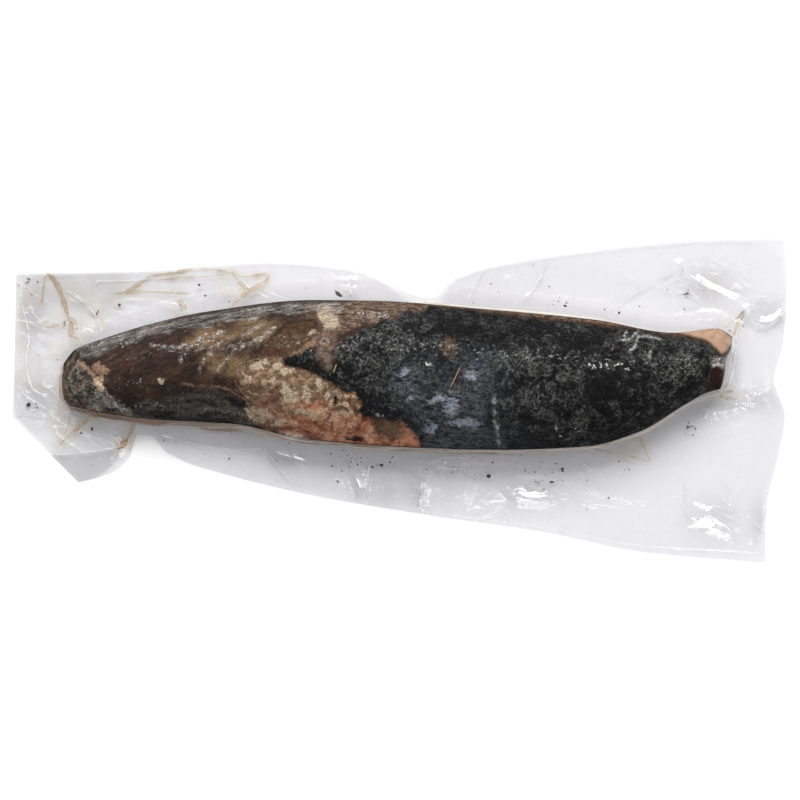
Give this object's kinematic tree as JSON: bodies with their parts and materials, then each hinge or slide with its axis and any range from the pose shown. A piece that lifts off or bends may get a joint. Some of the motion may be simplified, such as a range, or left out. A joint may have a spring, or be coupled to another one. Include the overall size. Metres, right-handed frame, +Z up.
{
  "type": "vacuum-packed seared bonito loin",
  "caption": "Long seared loin of bonito, skin side up, sealed in a clear vacuum pouch that clings to it and runs out in a thin wavy margin.",
  "frame": {"origin": "on the table, under the middle of the pouch's outline", "axes": "+X along the loin towards its thick head end, +Y across it towards the far side, +Z up, out of the seared skin"},
  "size_m": [0.352, 0.148, 0.0369],
  "materials": {
    "clear_film": "clear heat-sealed film, glossy, creased",
    "seared_loin": "charred fish skin and browned flesh, moist",
    "meat_juice": "thin brown juice held in the film's creases",
    "char": "dry flakes of burnt skin",
    "straw": "scorched bits of dry straw"
  },
  "bodies": {
    "root": {"pouch": "clear_film"}
  },
  "joints": []
}
